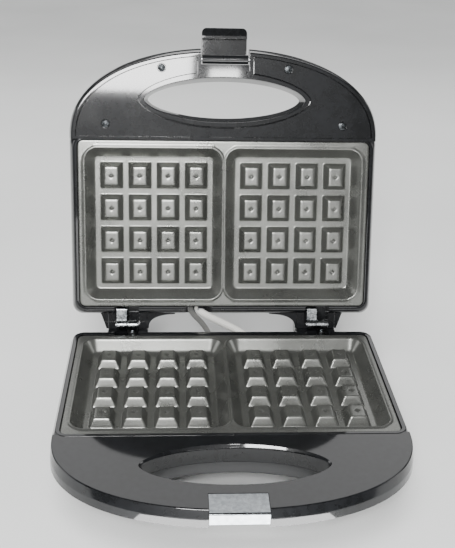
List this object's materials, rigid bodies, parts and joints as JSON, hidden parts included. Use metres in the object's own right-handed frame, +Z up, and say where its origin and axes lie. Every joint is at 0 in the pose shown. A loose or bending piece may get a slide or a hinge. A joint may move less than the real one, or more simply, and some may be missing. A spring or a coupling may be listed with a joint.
{
  "type": "waffle maker",
  "caption": "Electric waffle maker standing open: hinged black shells with studded non-stick cooking plates, D-shaped handle fronts with finger openings, and a flip-over latch.",
  "frame": {"origin": "centre of the footprint at the underside of the feet", "axes": "+Z up, the handles towards -Y, +X to the right as seen from the front"},
  "size_m": [0.241, 0.3048, 0.265],
  "materials": {
    "black_gloss": "gloss",
    "black_matt": "matt",
    "non_stick": "satin non-stick coating",
    "zinc": "bright zinc plate",
    "steel": "satin",
    "aluminised": "satin",
    "chromed": "polished",
    "sleeve": "woven glass fibre",
    "dark_sleeve": "woven glass fibre",
    "rubber": "matt",
    "ceramic": "matt",
    "red_lens": "gloss",
    "green_lens": "gloss"
  },
  "bodies": {
    "base": {"base_housing": "black_gloss", "base_bottom_cover": "black_matt", "lower_cooking_plate": "non_stick", "catch_plate": "chromed", "lower_heating_element": "steel", "lower_reflector": "aluminised", "thermostat": "ceramic", "thermal_fuse": "steel", "terminal_block": "ceramic", "foot_1": "rubber", "foot_2": "rubber", "foot_3": "rubber", "foot_4": "rubber", "bottom_cover_screw_1": "zinc", "bottom_cover_screw_2": "zinc", "bottom_cover_screw_3": "zinc", "bottom_cover_screw_4": "zinc", "lower_plate_screw_1": "zinc", "lower_plate_screw_2": "zinc", "left_hinge_base_leaf": "zinc", "left_hinge_pin": "steel", "left_hinge_screw": "zinc", "right_hinge_base_leaf": "zinc", "right_hinge_pin": "steel", "right_hinge_screw": "zinc", "wire_sleeve": "sleeve", "earth_lead_sleeve": "dark_sleeve"},
    "lid": {"lid_housing": "black_gloss", "lid_handle_cover": "black_gloss", "handle_cover_screw_1": "zinc", "handle_cover_screw_2": "zinc", "handle_cover_screw_3": "zinc", "handle_cover_screw_4": "zinc", "upper_cooking_plate": "non_stick", "upper_heating_element": "steel", "upper_reflector": "aluminised", "upper_plate_screw_1": "zinc", "upper_plate_screw_2": "zinc", "red_lamp_lens": "red_lens", "green_lamp_lens": "green_lens", "latch_pin": "steel", "left_hinge_lid_leaf": "zinc", "right_hinge_lid_leaf": "zinc"},
    "latch": {"latch_clip": "black_gloss"}
  },
  "joints": [
    {"name": "lid_hinge", "type": "hinge", "parent": "base", "child": "lid", "pos_m": [0, 0.07011, 0.0465], "axis": [1, 0, 0], "range_deg": [0, 105.16], "deforming": ["wire_sleeve", "earth_lead_sleeve"]},
    {"name": "latch_hinge", "type": "hinge", "parent": "lid", "child": "latch", "pos_m": [0, 0.12813, 0.24535], "axis": [1, 0, 0], "range_deg": [0, 90]}
  ]
}
